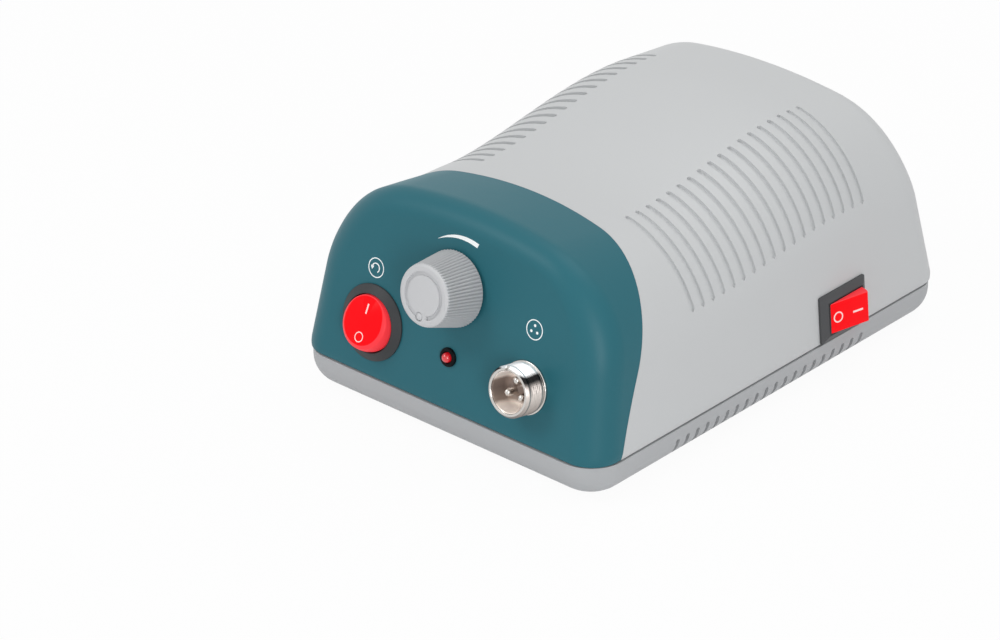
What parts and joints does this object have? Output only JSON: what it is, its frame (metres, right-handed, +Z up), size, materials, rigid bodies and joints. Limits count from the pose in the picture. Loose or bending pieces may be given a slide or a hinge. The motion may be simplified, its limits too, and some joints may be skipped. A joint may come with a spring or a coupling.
{
  "type": "micromotor control box",
  "caption": "Bench micromotor control box with moulded slotted housing, leaning control front, speed knob, rocker switches, motor socket, mains inlet and pedal jack.",
  "frame": {"origin": "middle of the overall box, on the table plane under the feet", "axes": "+X to the right of someone facing the control front, +Y from the control front to the rear, +Z up"},
  "size_m": [0.121, 0.1708, 0.0742],
  "materials": {
    "base_grey": "fine moulded texture, mid grey",
    "cover_grey": "smooth satin moulding, light grey",
    "teal": "satin blue-green paint",
    "dark_plastic": "satin dark grey",
    "black_plastic": "black",
    "red_plastic": "bright red, translucent look",
    "red_lens": "clear red",
    "knob_grey": "satin grey",
    "insert_grey": "warm grey",
    "rubber": "black rubber",
    "steel": "zinc plated",
    "nickel": "polished nickel",
    "brass": "tinned brass",
    "aluminium": "bare",
    "iron": "laminated, varnished",
    "tape": "wound with tape",
    "board_green": "solder mask",
    "relay_blue": "moulded",
    "terminal_green": "moulded",
    "glass": "clear tube with metal ends"
  },
  "bodies": {
    "case": {"base_tray": "base_grey", "top_cover": "cover_grey", "front_cover": "teal", "feet": "rubber", "case_screws": "steel", "direction_body": "dark_plastic", "direction_tabs": "brass", "power_body": "dark_plastic", "power_tabs": "brass", "pot_body": "steel", "pot_washer": "steel", "pot_nut": "nickel", "pot_tabs": "brass", "lamp_collar": "black_plastic", "lamp": "red_lens", "socket_shell": "nickel", "socket_insert": "insert_grey", "socket_pins": "nickel", "socket_nut": "nickel", "inlet_body": "black_plastic", "inlet_pins": "nickel", "jack_body": "black_plastic", "jack_nut": "nickel", "core": "iron", "coil": "tape", "core_strap": "steel", "strap_screws": "steel", "board": "board_green", "board_screws": "steel", "capacitors": "black_plastic", "rectifier": "black_plastic", "heat_sink": "aluminium", "transistors": "black_plastic", "sink_screws": "steel", "relay": "relay_blue", "fuse": "glass", "fuse_clips": "brass", "terminal_block": "terminal_green"},
    "knob": {"speed_knob": "knob_grey", "pot_shaft": "aluminium"},
    "direction_rocker": {"direction_rocker": "red_plastic"},
    "power_rocker": {"power_rocker": "red_plastic"}
  },
  "joints": [
    {"name": "speed_turn", "type": "hinge", "parent": "case", "child": "knob", "pos_m": [-0.00353, -0.07025, 0.0481], "axis": [0, 0.981, -0.1942], "range_deg": [0, 300]},
    {"name": "direction_rock", "type": "hinge", "parent": "case", "child": "direction_rocker", "pos_m": [-0.03233, -0.07516, 0.02848], "axis": [1, 0, 0], "range_deg": [0, 30]},
    {"name": "power_rock", "type": "hinge", "parent": "case", "child": "power_rocker", "pos_m": [0.05509, 0.03496, 0.02002], "axis": [-0.1011, 0, 0.9949], "range_deg": [0, 30]}
  ]
}
